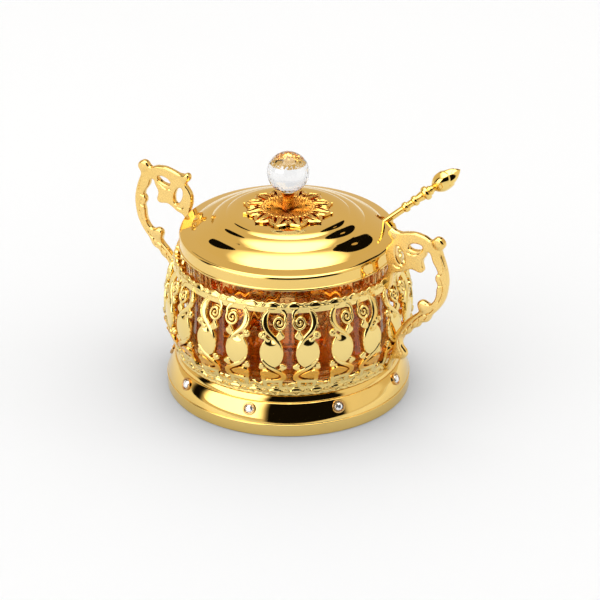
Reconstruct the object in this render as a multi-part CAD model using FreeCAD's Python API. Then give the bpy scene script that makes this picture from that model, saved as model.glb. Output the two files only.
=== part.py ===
import FreeCAD, Part
import os
import math

os.makedirs("parts", exist_ok=True)
V = FreeCAD.Vector
ZAX = V(0, 0, 1)

# ---------------------------------------------------------------- dimensions
# Everything in millimetres. Origin at the centre of the foot's underside,
# +Z up, +X towards the right handle.

# foot
BASE_R = 59.0            # outer radius of the rim band
BASE_BAND_H = 5.8        # height of the vertical rim band
BASE_T = 1.2             # sheet thickness of the spun foot
DECK_Z = 18.4            # top of the closed deck
PAD_Z0, PAD_T = 1.2, 1.6 # felt-covered disc that closes the underside
# stones in the skirt
STONE_A = (-116.95, -76.85, -33.35, 6.95, 46.3, 85.65, 125.0, 164.35, 203.7)   # angles from +X, set by hand and not quite even
STONE_R_POS, STONE_Z = 56.85, 12.2
STONE_TILT = 24.0        # outward normal of the skirt above the horizontal
CUP_R, CUP_IN, CUP_H = 3.0, 2.35, 1.9
# basket
BK_LO = (53.0, 18.6)     # outer profile: low, widest and high point (radius, z)
BK_MID = (59.8, 44.0)
BK_HI = (52.5, 68.6)
BK_T = 1.6               # thickness of the castings
BAND_LO = (18.45, 26.0)  # bottom band, z from / to
BAND_HI = (63.3, 68.6)   # top band
LEDGE_R, LEDGE_T = 42.5, 1.4
COL_N = 22
COL_A0 = 0.0             # angle of the first column, behind the right handle
MED_Z, MED_A, MED_B = 44.5, 5.3, 7.6      # oval medallion: centre height, half axes
RING_HI_Z, RING_HI_R = 56.6, 4.2          # scroll above the medallion
RING_LO_Z, RING_LO_R = 32.2, 4.2          # scroll below the medallion
SCREW_N, SCREW_PCR, SCREW_R = 4, 45.0, 1.45
# handles
HAND_T = 3.2             # plate thickness
RIVET_R = 0.9
RIVET_Z = (22.4, 65.4)
# glass liner
GL_R, GL_T, GL_Z0, GL_TOP, GL_BOT = 48.6, 2.6, 20.3, 77.2, 6.0
GL_F = 2.4               # radius inside, where wall and bottom meet
# lid
LID_R, LID_T = 52.1, 0.9
LID_Z0, LID_RIM_Z = 73.0, 78.4   # lower edge of the flange, and where the rounded rim starts
LID_TOP = 90.5           # flat top under the rosette
NOTCH_A = 43.0           # azimuth of the spoon notch
NOTCH_W, NOTCH_R0 = 5.6, 42.6
SEAT_R = (46.7, 47.9)    # rib under the shoulder that rests on the glass rim
SEAT_Z = GL_TOP + 0.1
# knob
ROS_R, ROS_Z, ROS_T, ROS_N = 22.2, 90.6, 1.2, 12
ROS_A = 17.15            # azimuth of the first petal
POST_R = 2.4
BALL_R, BALL_Z = 10.1, 110.0
KSCREW_R = 1.45
# spoon
SP_A = 43.0              # azimuth of the spoon's plane
SP_R0, SP_Z0 = 44.97, 78.4   # point of the stem's axis where it meets the notch
SP_EL = 33.46            # rise of the stem above the horizontal
SP_D = 3.4               # stem diameter
SC_R, SC_D, SC_T = 13.5, 6.0, 1.0   # scoop: sphere radius, depth, wall
SC_C = -80.4             # centre of the scoop along the stem's axis
SC_NECK = -68.0          # where the stem meets the scoop


def ring(pts_outer, pts_inner):
    """Solid of revolution from an outer and an inner profile of (r, z)."""
    pts = [V(r, 0, z) for r, z in pts_outer] + [V(r, 0, z) for r, z in reversed(pts_inner)]
    w = Part.makePolygon(pts + [pts[0]])
    return Part.Face(w).revolve(V(0, 0, 0), ZAX, 360)


def turned(edges):
    w = Part.Wire(Part.__sortEdges__(edges))
    return Part.Face(w).revolve(V(0, 0, 0), ZAX, 360)


def spl(pts):
    c = Part.BSplineCurve()
    c.interpolate([V(r, 0, z) for r, z in pts])
    return c.toShape()


def seg(*pts):
    return [Part.makeLine(V(a[0], 0, a[1]), V(b[0], 0, b[1])) for a, b in zip(pts[:-1], pts[1:])]


def rotz(s, deg):
    s = s.copy()
    s.rotate(V(0, 0, 0), ZAX, deg)
    return s


def solid(s):
    """The single solid of a shape, cleaned of seams."""
    s = s.removeSplitter()
    if s.ShapeType != "Solid" and len(s.Solids) == 1:
        s = s.Solids[0]
    return s


def put(name, shape):
    if isinstance(shape, (list, tuple)):
        shape = Part.makeCompound([x for s in shape for x in s.Solids])
    bad = [s for s in shape.Solids if not s.isValid()]
    print(name, len(shape.Solids), "solids", round(shape.Volume, 1), "mm3", "INVALID" if bad else "")
    shape.exportStep("parts/%s.step" % name)


# ---------------------------------------------------------------- basket curve
def circle3(p, q, s):
    ax, ay, bx, by, cx, cy = *p, *q, *s
    d = 2 * (ax * (by - cy) + bx * (cy - ay) + cx * (ay - by))
    ux = ((ax**2 + ay**2) * (by - cy) + (bx**2 + by**2) * (cy - ay) + (cx**2 + cy**2) * (ay - by)) / d
    uy = ((ax**2 + ay**2) * (cx - bx) + (bx**2 + by**2) * (ax - cx) + (cx**2 + cy**2) * (bx - ax)) / d
    return ux, uy, math.hypot(ax - ux, ay - uy)


BKC_R, BKC_Z, BKC_RAD = circle3(BK_LO, BK_MID, BK_HI)


def bk_r(z, off=0.0):
    """Outer radius of the basket at height z, moved outwards by off."""
    return BKC_R + math.sqrt((BKC_RAD + off) ** 2 - (z - BKC_Z) ** 2)


def arc_edge(off, z0, z1):
    zm = (z0 + z1) / 2
    return Part.Arc(V(bk_r(z0, off), 0, z0), V(bk_r(zm, off), 0, zm), V(bk_r(z1, off), 0, z1)).toShape()


def shell(z0, z1, off_out=0.0, off_in=-BK_T):
    return turned([arc_edge(off_out, z0, z1), arc_edge(off_in, z0, z1)]
                  + seg((bk_r(z0, off_out), z0), (bk_r(z0, off_in), z0))
                  + seg((bk_r(z1, off_out), z1), (bk_r(z1, off_in), z1)))


# ---------------------------------------------------------------- foot
skirt_out = [(58.65, 6.3), (57.95, 8.7), (56.95, 11.3), (55.7, 14.0), (54.95, 15.2)]
skirt_in = [(57.4, 6.0), (56.7, 8.4), (55.75, 10.9), (54.55, 13.5), (53.7, 14.7)]
edges = (seg((BASE_R - 0.4, 0), (BASE_R, 0.4), (BASE_R, BASE_BAND_H), (58.65, 6.3))
         + [spl(skirt_out)]
         + seg((54.95, 15.2), (54.4, 15.5), (53.9, 17.2), (53.1, DECK_Z), (0, DECK_Z),
               (0, DECK_Z - BASE_T), (52.1, DECK_Z - BASE_T), (52.2, 16.1), (52.9, 15.6), (53.7, 14.7))
         + [spl(skirt_in)]
         + seg((57.4, 6.0), (BASE_R - BASE_T, 5.5), (BASE_R - BASE_T, 0), (BASE_R - 0.4, 0)))
foot = turned(edges)


def stone_place(s):
    """Move a shape made along +Z onto the skirt at angle 0, axis along the skirt's normal."""
    s = s.copy()
    s.rotate(V(0, 0, 0), V(0, 1, 0), 90 - STONE_TILT)
    s.translate(V(STONE_R_POS, 0, STONE_Z))
    return s


cups, stones = [], []
for a in STONE_A:
    hole = rotz(stone_place(Part.makeCylinder(CUP_R + 0.03, 6, V(0, 0, -3))), a)
    foot = foot.cut(hole)
cup = Part.makeCylinder(CUP_R, CUP_H, V(0, 0, -1.3)).cut(Part.makeCylinder(CUP_IN, 2, V(0, 0, -0.5)))
cup = cup.makeFillet(0.2, [e for e in cup.Edges if abs(e.BoundBox.ZMin - (CUP_H - 1.3)) < 1e-6 and e.Length > 2 * math.pi * (CUP_R - 0.1)])
stone = Part.makeCylinder(CUP_IN - 0.04, 0.7, V(0, 0, -0.46)).fuse(
    Part.makeCone(CUP_IN - 0.04, 1.25, 0.75, V(0, 0, 0.24)))
for a in STONE_A:
    cups.append(rotz(stone_place(cup), a))
    stones.append(rotz(stone_place(stone.removeSplitter()), a))

pad = Part.makeCylinder(BASE_R - BASE_T - 0.15, PAD_T, V(0, 0, PAD_Z0))

# ---------------------------------------------------------------- bands and columns
led_z = BAND_LO[0]
band_lo = shell(*BAND_LO).fuse(ring([(bk_r(led_z, -0.8), led_z), (bk_r(led_z + LEDGE_T, -0.8), led_z + LEDGE_T)],
                                    [(LEDGE_R, led_z), (LEDGE_R, led_z + LEDGE_T)]))
band_lo = solid(band_lo)
band_hi = shell(*BAND_HI)

# screws from below: head under the deck, shank through deck and ledge
screws = []
for k in range(SCREW_N):
    a = math.radians(45 + 90 * k)
    c = V(SCREW_PCR * math.cos(a), SCREW_PCR * math.sin(a), 0)
    foot = foot.cut(Part.makeCylinder(SCREW_R + 0.1, 4, c + V(0, 0, DECK_Z - 3)))
    band_lo = band_lo.cut(Part.makeCylinder(SCREW_R + 0.03, 4, c + V(0, 0, DECK_Z - 1)))
    head = Part.makeCylinder(2.7, 1.6, c + V(0, 0, DECK_Z - BASE_T - 1.62))
    head = head.cut(Part.makeBox(6, 0.7, 0.6, c + V(-3, -0.35, DECK_Z - BASE_T - 1.63)))
    screws.append(head.fuse(Part.makeCylinder(SCREW_R, BASE_T + LEDGE_T + 0.3, c + V(0, 0, DECK_Z - BASE_T - 0.3))).removeSplitter())

col_z0, col_z1 = BAND_LO[1] + 0.02, BAND_HI[0] - 0.02
col_shell = shell(col_z0, col_z1)


def radial(wire_pts):
    w = Part.makePolygon([V(46, y, z) for y, z in wire_pts] + [V(46, wire_pts[0][0], wire_pts[0][1])])
    return Part.Face(w).extrude(V(18, 0, 0))


def oval(cz, a, b, cy=0.0):
    if b >= a:
        e = Part.Ellipse(V(46, cy, cz + b), V(46, cy + a, cz), V(46, cy, cz))
    else:
        e = Part.Ellipse(V(46, cy + a, cz), V(46, cy, cz + b), V(46, cy, cz))
    return Part.Face(Part.Wire(e.toShape())).extrude(V(18, 0, 0))


col = oval(MED_Z, MED_A, MED_B)
col = col.fuse([oval(RING_HI_Z, RING_HI_R, RING_HI_R + 1.6), oval(RING_LO_Z, RING_LO_R, RING_LO_R + 1.8),
                radial([(-2.6, 60.6), (2.6, 60.6), (2.6, col_z1 + 2), (-2.6, col_z1 + 2)]),
                radial([(-2.6, 27.6), (2.6, 27.6), (2.6, col_z0 - 2), (-2.6, col_z0 - 2)])])
col = col.cut(oval(RING_HI_Z + 0.4, RING_HI_R - 2.1, RING_HI_R - 0.9)).cut(oval(RING_LO_Z - 0.3, RING_LO_R - 2.1, RING_LO_R - 0.9))
col = solid(col.common(col_shell))
columns = [rotz(col, COL_A0 + 360.0 / COL_N * k) for k in range(COL_N)]

# ---------------------------------------------------------------- handles
outline = [
    (50.0, 62.4), (51.0, 68.6), (53.6, 69.8), (55.0, 72.5), (55.8, 75.6), (55.2, 77.9), (54.7, 80.0), (54.5, 82.2), (54.7, 84.2),
    (55.5, 86.2), (56.9, 87.9), (57.9, 89.3), (57.5, 90.5), (56.3, 91.8), (55.7, 93.5), (56.2, 95.1), (57.5, 95.6), (59.1, 94.9),
    (60.3, 94.6), (62.0, 94.5), (64.4, 95.1), (67.3, 95.8), (70.2, 96.2), (73.1, 95.9), (76.2, 95.2), (78.5, 94.4),
    (79.4, 95.0), (80.4, 96.2), (81.9, 96.8), (83.5, 96.6), (84.9, 95.6), (85.7, 94.2), (85.6, 92.6), (84.9, 91.5), (84.2, 90.4),
    (84.3, 88.9), (85.2, 86.6), (86.3, 83.6), (87.2, 80.4), (87.8, 77.0), (87.9, 74.0), (87.6, 71.2), (87.1, 68.2), (86.3, 65.4),
    (85.1, 62.8), (83.6, 60.4), (81.9, 58.2), (80.3, 56.4), (79.4, 54.8), (78.7, 53.2), (77.6, 51.9), (76.0, 51.1), (74.5, 50.4),
    (73.8, 49.2), (73.0, 48.1), (71.8, 47.3), (70.4, 46.4), (69.2, 45.0), (68.2, 43.4), (66.6, 42.1), (65.0, 40.9), (63.9, 39.4),
    (63.8, 37.5), (64.2, 35.8), (65.3, 34.5), (66.3, 33.3), (66.7, 31.8), (66.1, 30.0), (64.7, 28.6), (63.0, 27.9), (61.3, 27.8),
    (59.6, 26.8), (58.4, 24.6), (57.4, 21.2), (55.0, 19.4),
    (50.5, 20.2), (51.0, 24.8), (56.4, 26.8), (58.0, 30.0), (58.6, 34.6), (59.2, 38.6), (60.8, 42.2), (62.5, 44.9), (64.4, 47.6),
    (66.2, 49.8), (68.3, 51.9), (70.2, 53.6), (71.8, 55.0), (72.7, 56.4), (72.4, 58.1), (72.0, 59.8), (72.5, 61.3), (73.7, 62.1),
    (75.2, 62.2), (76.6, 61.7), (77.7, 61.3), (78.7, 61.5), (79.8, 62.5), (81.0, 64.3), (81.7, 66.4), (82.0, 68.6), (82.1, 70.4),
    (82.5, 72.0), (82.2, 73.6), (81.5, 74.8), (81.3, 76.2), (81.8, 77.5), (82.5, 78.6), (82.2, 80.0), (81.3, 81.6), (80.2, 83.2),
    (79.4, 84.9), (78.9, 86.6), (77.9, 88.0), (76.8, 88.0), (76.1, 86.7), (75.5, 85.0), (74.6, 83.7), (74.1, 82.2), (74.3, 80.4),
    (74.8, 78.7), (74.6, 77.4), (73.5, 76.6), (71.9, 76.6), (70.1, 77.0), (68.4, 77.1), (66.7, 76.4), (65.2, 75.6), (64.0, 74.8),
    (62.7, 74.2), (61.2, 73.8), (59.8, 73.2), (58.6, 71.6), (57.8, 68.0), (57.2, 65.0), (55.5, 62.6),
]
crv = Part.BSplineCurve()
crv.interpolate([V(x, 0, z) for x, z in outline], True)
plate = Part.Face(Part.Wire(crv.toShape())).extrude(V(0, HAND_T, 0))
plate.translate(V(0, -HAND_T / 2, 0))


def through(cx, cz, a, b, deg):
    e = Part.Ellipse(V(0, 0, 0), a, b).toShape()
    f = Part.Face(Part.Wire(e)).extrude(V(0, 0, 2 * HAND_T))
    f.translate(V(0, 0, -HAND_T))
    f.rotate(V(0, 0, 0), V(1, 0, 0), 90)
    f.rotate(V(0, 0, 0), V(0, 1, 0), -deg)
    f.translate(V(cx, 0, cz))
    return f


plate = plate.cut(through(70.5, 89.1, 3.75, 1.75, 13)).cut(through(62.3, 82.7, 4.7, 2.2, 109))
core = turned([arc_edge(0.05, 17.0, 70.4)] + seg((0, 17.0), (bk_r(17.0, 0.05), 17.0)) + seg((0, 70.4), (bk_r(70.4, 0.05), 70.4))
              + seg((0, 17.0), (0, 70.4)))
handle = plate.cut(core)
handle = max(handle.Solids, key=lambda s: s.Volume)

rivets = []
for z in RIVET_Z:
    x0, x1 = bk_r(z, -BK_T) + 0.12, bk_r(z) + 2.0
    for sgn in (1, -1):
        d = V(sgn, 0, 0)
        rivets.append(Part.makeCylinder(RIVET_R, x1 - x0, V(sgn * x0, 0, z), d))
        hole = Part.makeCylinder(RIVET_R + 0.03, 8, V(sgn * (x0 - 5.0), 0, z), d)
        band_lo = band_lo.cut(hole)
        band_hi = band_hi.cut(hole)
    handle = handle.cut(Part.makeCylinder(RIVET_R + 0.03, x1 - x0 + 0.1, V(x0, 0, z), V(1, 0, 0)))
handle_r = solid(handle)
handle_l = handle_r.mirror(V(0, 0, 0), V(1, 0, 0))

# ---------------------------------------------------------------- glass liner
rt = GL_T / 2
gl = (seg((0, GL_Z0 + 0.8), (GL_R - 14, GL_Z0 + 0.8), (GL_R - 15, GL_Z0), (GL_R - 4.2, GL_Z0))
      + [Part.Arc(V(GL_R - 4.2, 0, GL_Z0), V(GL_R - 1.25, 0, GL_Z0 + 1.2), V(GL_R, 0, GL_Z0 + 4.0)).toShape()]
      + seg((GL_R, GL_Z0 + 4.0), (GL_R, GL_TOP - rt))
      + [Part.Arc(V(GL_R, 0, GL_TOP - rt), V(GL_R - rt, 0, GL_TOP), V(GL_R - GL_T, 0, GL_TOP - rt)).toShape()]
      + seg((GL_R - GL_T, GL_TOP - rt), (GL_R - GL_T, GL_Z0 + GL_BOT + GL_F))
      + [Part.Arc(V(GL_R - GL_T, 0, GL_Z0 + GL_BOT + GL_F), V(GL_R - GL_T - 0.293 * GL_F, 0, GL_Z0 + GL_BOT + 0.293 * GL_F), V(GL_R - GL_T - GL_F, 0, GL_Z0 + GL_BOT)).toShape()]
      + seg((GL_R - GL_T - GL_F, GL_Z0 + GL_BOT), (0, GL_Z0 + GL_BOT), (0, GL_Z0 + 0.8)))
glass = turned(gl)

# ---------------------------------------------------------------- lid
dome = [(46.1, 81.3), (44.5, 82.4), (42.0, 83.7), (39.0, 84.85), (36.8, 85.6), (35.2, 86.5), (33.4, 87.55), (31.4, 88.35),
        (29.6, 88.9), (28.2, 89.5), (26.6, 90.05), (24.8, 90.4), (22.8, LID_TOP)]
dome_in = [(r - 0.32, z - LID_T + 0.07) for r, z in dome]
dome_in[-1] = (22.6, LID_TOP - LID_T)
edges = (seg((LID_R, LID_Z0 + 1.0), (LID_R, LID_RIM_Z))
         + [Part.Arc(V(LID_R, 0, LID_RIM_Z), V(51.7, 0, 79.6), V(50.7, 0, 80.3)).toShape()]
         + seg((50.7, 80.3), (46.1, 81.3)) + [spl(dome)]
         + seg((22.8, LID_TOP), (0, LID_TOP), (0, LID_TOP - LID_T), (22.6, LID_TOP - LID_T))
         + [spl(dome_in)]
         + seg(dome_in[0], (SEAT_R[0], 80.255), (SEAT_R[0], SEAT_Z), (SEAT_R[1], SEAT_Z), (SEAT_R[1], 79.975), (50.3, 79.42), (LID_R - LID_T, 78.3), (LID_R - LID_T, LID_Z0), (LID_R + 0.25, LID_Z0),
               (LID_R + 0.45, LID_Z0 + 0.3), (LID_R + 0.45, LID_Z0 + 0.6), (LID_R, LID_Z0 + 1.0)))
lid = turned(edges)
slot = Part.makeBox(20, NOTCH_W, 30, V(NOTCH_R0 + NOTCH_W / 2, -NOTCH_W / 2, 65)).fuse(
    Part.makeCylinder(NOTCH_W / 2, 30, V(NOTCH_R0 + NOTCH_W / 2, 0, 65)))
lid = lid.cut(rotz(slot, NOTCH_A))
lid = lid.cut(Part.makeCylinder(KSCREW_R + 0.1, 6, V(0, 0, LID_TOP - 3)))
lid = solid(lid)

# ---------------------------------------------------------------- rosette and knob
pts = []
for k in range(2 * ROS_N):
    r = ROS_R if k % 2 == 0 else ROS_R - 6.0
    a = math.pi * k / ROS_N + math.radians(ROS_A)
    pts.append(V(r * math.cos(a), r * math.sin(a), ROS_Z))
ros = Part.Face(Part.makePolygon(pts + [pts[0]])).extrude(V(0, 0, ROS_T))
for k in range(ROS_N):
    a = 2 * math.pi * k / ROS_N + math.radians(ROS_A)
    ros = ros.cut(Part.makeCylinder(1.1, 4, V(13.0 * math.cos(a), 13.0 * math.sin(a), ROS_Z - 1)))
ros = ros.cut(Part.makeCylinder(KSCREW_R + 0.1, 4, V(0, 0, ROS_Z - 1)))

post_z0, cup_z = ROS_Z + ROS_T + 0.02, BALL_Z - BALL_R + 0.9
post = turned(seg((0, post_z0), (3.9, post_z0), (3.9, post_z0 + 0.6)) + [spl([(3.9, post_z0 + 0.6), (2.8, post_z0 + 1.7), (POST_R, post_z0 + 3.6), (2.7, cup_z - 2.0), (4.1, cup_z)])]
              + seg((4.1, cup_z), (0, cup_z), (0, post_z0)))
ball = Part.makeSphere(BALL_R, V(0, 0, BALL_Z))
post = post.cut(Part.makeSphere(BALL_R + 0.03, V(0, 0, BALL_Z)))
post = solid(post.cut(Part.makeCylinder(KSCREW_R + 0.03, 6.0, V(0, 0, post_z0 - 0.5))))
wash_z = LID_TOP - LID_T
washer = Part.makeCylinder(4.2, 0.8, V(0, 0, wash_z - 0.82)).cut(Part.makeCylinder(KSCREW_R + 0.15, 3, V(0, 0, wash_z - 2)))
kscrew = Part.makeCylinder(2.7, 1.7, V(0, 0, wash_z - 0.84 - 1.7)).cut(Part.makeBox(6, 0.7, 0.7, V(-3, -0.35, wash_z - 0.84 - 1.71)))
kscrew = kscrew.fuse(Part.makeCylinder(KSCREW_R, post_z0 + 5.0 - wash_z + 0.84, V(0, 0, wash_z - 0.84))).removeSplitter()

# ---------------------------------------------------------------- spoon
# Made along +Z (t = 0 where the stem meets the notch, finial up), then laid on its axis.
# Its +X side turns to the underside, so the scoop bulges towards +X.
stem_prof = [(0, SC_NECK), (SP_D / 2, SC_NECK), (SP_D / 2, 13.6), (2.5, 14.4), (2.5, 15.6), (1.75, 16.4), (1.95, 19.0),
             (2.5, 19.6), (2.5, 21.0), (1.8, 21.8), (2.1, 24.6), (3.0, 25.4), (3.5, 26.8), (3.0, 28.2), (1.9, 29.4), (1.9, 31.0), (0, 31.0)]
stem = turned(seg(*(stem_prof + [stem_prof[0]])))
fin = turned([spl([(2.2, 31.02), (3.7, 32.6), (4.7, 35.6), (4.5, 39.0), (3.2, 42.6), (1.5, 45.4), (0, 46.8)])]
             + seg((0, 46.8), (0, 31.02), (2.2, 31.02)))
scoop = Part.makeSphere(SC_R).cut(Part.makeSphere(SC_R - SC_T))
scoop.translate(V(SC_D - SC_R, 0, SC_C))
scoop = scoop.common(Part.makeBox(40, 60, 60, V(0, -30, SC_C - 30)))
tang = Part.makeCylinder(SP_D / 2, 3.0, V(0, 0, SC_NECK - 3.0 - 0.02))
scoop = solid(scoop.fuse(tang))


def lay(s):
    s = s.copy()
    s.rotate(V(0, 0, 0), V(0, 1, 0), 90 - SP_EL)
    s.translate(V(SP_R0, 0, SP_Z0))
    return rotz(s, SP_A)


put("base_skirt", solid(foot))
put("stone_cups", cups)
put("base_stones", stones)
put("foot_pad", pad)
put("base_screws", screws)
put("bottom_band", solid(band_lo))
put("basket_columns", columns)
put("top_band", solid(band_hi))
put("handle_right", handle_r)
put("handle_left", handle_l)
put("handle_rivets", rivets)
put("glass_bowl", glass)
put("lid_shell", lid)
put("lid_rosette", ros)
put("knob_post", post)
put("crystal_ball", ball)
put("knob_washer", washer)
put("knob_screw", kscrew)
put("spoon_scoop", lay(scoop))
put("spoon_stem", lay(stem))
put("spoon_finial", lay(fin))
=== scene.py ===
import math

import bmesh
import bpy
import numpy as np
from mathutils import Matrix, Vector


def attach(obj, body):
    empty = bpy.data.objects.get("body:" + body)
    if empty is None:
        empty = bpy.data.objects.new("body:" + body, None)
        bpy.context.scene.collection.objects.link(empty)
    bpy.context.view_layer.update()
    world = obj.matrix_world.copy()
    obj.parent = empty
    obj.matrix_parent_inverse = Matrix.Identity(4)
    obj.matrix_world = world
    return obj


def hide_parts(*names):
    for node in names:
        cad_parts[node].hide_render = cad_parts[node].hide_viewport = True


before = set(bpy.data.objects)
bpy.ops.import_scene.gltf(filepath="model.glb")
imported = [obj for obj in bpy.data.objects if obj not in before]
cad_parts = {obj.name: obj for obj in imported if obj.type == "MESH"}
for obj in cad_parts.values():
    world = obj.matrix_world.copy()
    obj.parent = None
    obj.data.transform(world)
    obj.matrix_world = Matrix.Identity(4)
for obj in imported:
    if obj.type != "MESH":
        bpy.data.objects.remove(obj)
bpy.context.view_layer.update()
sc = bpy.context.scene
MM = 0.001
RAD = math.radians

# ================================================================= helpers


def spline(pts, n, closed=False):
    """Cubic spline through the points, sampled at n values of the chord length."""
    p = np.asarray(pts, float)
    if closed:
        p = np.vstack([p, p[:1]])
    t = np.concatenate([[0.0], np.cumsum(np.sqrt((np.diff(p, axis=0) ** 2).sum(1)))])
    h = np.diff(t)
    m = len(t)
    a = np.zeros((m, m))
    b = np.zeros_like(p)
    if closed:
        k = m - 1
        for i in range(k):
            hm, hp = h[i - 1], h[i]
            a[i, (i - 1) % k] += hm
            a[i, i] += 2 * (hm + hp)
            a[i, (i + 1) % k] += hp
            b[i] = 6 * ((p[i + 1] - p[i]) / hp - (p[i] - p[i - 1 if i else k - 1]) / hm)
        d2 = np.linalg.solve(a[:k, :k], b[:k])
        d2 = np.vstack([d2, d2[:1]])
    else:
        a[0, 0] = a[-1, -1] = 1.0
        for i in range(1, m - 1):
            a[i, i - 1], a[i, i], a[i, i + 1] = h[i - 1], 2 * (h[i - 1] + h[i]), h[i]
            b[i] = 6 * ((p[i + 1] - p[i]) / h[i] - (p[i] - p[i - 1]) / h[i - 1])
        d2 = np.linalg.solve(a, b)
    s = np.linspace(0, t[-1], n, endpoint=not closed)
    i = np.clip(np.searchsorted(t, s, side="right") - 1, 0, m - 2)
    w = (s - t[i])[:, None]
    hi = h[i][:, None]
    v = hi - w
    return (d2[i] * v**3 + d2[i + 1] * w**3) / (6 * hi) + (p[i] / hi - d2[i] * hi / 6) * v + (p[i + 1] / hi - d2[i + 1] * hi / 6) * w


def soft_corners(pts, rad, n=4, closed=False):
    """Polyline with each corner replaced by a small curve that starts rad from it."""
    p = [np.asarray(q, float) for q in pts]
    out = []
    k = len(p)
    for i in range(k):
        if not closed and i in (0, k - 1):
            out.append(p[i])
            continue
        a, c, b = p[i - 1], p[i], p[(i + 1) % k]
        la, lb = np.linalg.norm(a - c), np.linalg.norm(b - c)
        r = min(rad, 0.45 * la, 0.45 * lb)
        s, e = c + (a - c) / la * r, c + (b - c) / lb * r
        for t in np.linspace(0, 1, n + 1):
            out.append((1 - t) ** 2 * s + 2 * t * (1 - t) * c + t * t * e)
    return np.array(out)


def lathe(prof, n, closed=True, warp=None):
    """Verts and faces of a profile of (r, z) turned round Z. It runs anticlockwise: up the outside."""
    prof = np.asarray(prof, float)
    m = len(prof)
    ang = np.linspace(0, 2 * np.pi, n, endpoint=False)
    verts, rows = [], []
    for i, (r, z) in enumerate(prof):
        if r < 1e-6:
            rows.append([len(verts)] * n)
            verts.append((0.0, 0.0, z))
            continue
        rr = np.full(n, r) if warp is None else warp(i, r, z, ang)
        rows.append(list(range(len(verts), len(verts) + n)))
        verts.extend(zip(rr * np.cos(ang), rr * np.sin(ang), np.full(n, z)))
    faces = []
    for i in range(m if closed else m - 1):
        a, b = rows[i], rows[(i + 1) % m]
        if a[0] == a[1] and b[0] == b[1]:
            continue
        for j in range(n):
            q = [a[j], a[(j + 1) % n], b[(j + 1) % n], b[j]]
            q = [x for c, x in enumerate(q) if x != q[c - 1]]
            faces.append(q)
    return np.array(verts), faces


def cut_grid(U, V, D, wrap=False):
    """2-D mesh of the part of a grid where D < 0, with its edge on D = 0. Returns (params, polygons)."""
    D = np.where(np.abs(D) < 1e-4, -1e-4, D)
    nu, nv = len(U) - 1, len(V) - 1
    par, ids, polys = [], {}, []

    def node(i, j):
        key = (i, j % nv if wrap else j)
        if key not in ids:
            ids[key] = len(par)
            par.append((U[i], V[key[1]]))
        return ids[key]

    def edge(i, j, k, l):
        a, b = (i, j % nv if wrap else j), (k, l % nv if wrap else l)
        key = (min(a, b), max(a, b))
        if key not in ids:
            ids[key] = len(par)
            t = D[i, j] / (D[i, j] - D[k, l])
            t = min(max(t, 0.03), 0.97)
            par.append((U[i] + t * (U[k] - U[i]), V[j] + t * (V[l] - V[j])))
        return ids[key]

    neg = D < 0
    count = neg[:-1, :-1].astype(int) + neg[1:, :-1] + neg[1:, 1:] + neg[:-1, 1:]
    for i, j in zip(*np.nonzero(count)):
        ring = [(i, j), (i + 1, j), (i + 1, j + 1), (i, j + 1)]
        if count[i, j] == 4:
            polys.append([node(*c) for c in ring])
            continue
        poly = []
        for c in range(4):
            a, b = ring[c], ring[(c + 1) % 4]
            if neg[a]:
                poly.append(node(*a))
            if neg[a] != neg[b]:
                poly.append(edge(*a, *b))
        if len(poly) > 2:
            polys.append(poly)
    return np.array(par), polys


def shell(polys, front, back):
    """Closed shell between two copies of a 2-D mesh, with walls along its free edges."""
    n = len(front)
    seen = {}
    for f in polys:
        for a, b in zip(f, f[1:] + f[:1]):
            key = (min(a, b), max(a, b))
            seen[key] = None if key in seen else (a, b)
    faces = [list(f) for f in polys] + [[x + n for x in reversed(f)] for f in polys]
    for e in seen.values():
        if e is not None:
            a, b = e
            faces.append([b, a, a + n, b + n])
    return np.vstack([front, back]), faces


def stroke(P, pts, w0, w1, n=26, smooth=True):
    """Signed distance of points to a tapered stroke, and how far across it they lie (0 middle, 1 edge)."""
    c = spline(pts, n) if smooth and len(pts) > 2 else np.asarray(pts, float)
    a, b = c[:-1], c[1:]
    ab = b - a
    t = np.clip(((P[:, None] - a) * ab).sum(2) / np.maximum((ab**2).sum(1), 1e-12), 0, 1)
    dist = np.sqrt(((P[:, None] - a - t[..., None] * ab) ** 2).sum(2))
    k = len(a)
    w = w0 + (w1 - w0) * (np.arange(k) + t) / k
    d = dist - w
    i = d.argmin(1)
    r = np.arange(len(P))
    return d[r, i], dist[r, i] / w[r, i]


def poly_sdf(P, poly):
    """Signed distance to a closed polygon, negative inside."""
    a, b = poly, np.roll(poly, -1, 0)
    ab = b - a
    out = np.empty(len(P))
    for s in range(0, len(P), 4000):
        q = P[s:s + 4000]
        t = np.clip(((q[:, None] - a) * ab).sum(2) / (ab**2).sum(1), 0, 1)
        dist = np.sqrt(((q[:, None] - a - t[..., None] * ab) ** 2).sum(2)).min(1)
        up = (a[:, 1] > q[:, None, 1]) != (b[:, 1] > q[:, None, 1])
        x = a[:, 0] + (q[:, None, 1] - a[:, 1]) * ab[:, 0] / np.where(np.abs(ab[:, 1]) < 1e-12, 1e-12, ab[:, 1])
        inside = (up & (q[:, None, 0] < x)).sum(1) % 2 == 1
        out[s:s + 4000] = np.where(inside, -dist, dist)
    return out


def ellipse_sdf(P, cx, cz, a, b, deg=0.0):
    c, s = math.cos(RAD(deg)), math.sin(RAD(deg))
    x, z = P[:, 0] - cx, P[:, 1] - cz
    x, z = (x * c + z * s) / a, (-x * s + z * c) / b
    k = np.sqrt(x * x + z * z) + 1e-9
    g = np.sqrt((x / a) ** 2 + (z / b) ** 2) / k + 1e-9
    return (k - 1) / g


def spin(verts, deg):
    c, s = math.cos(RAD(deg)), math.sin(RAD(deg))
    return np.c_[verts[:, 0] * c - verts[:, 1] * s, verts[:, 0] * s + verts[:, 1] * c, verts[:, 2]]


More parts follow.
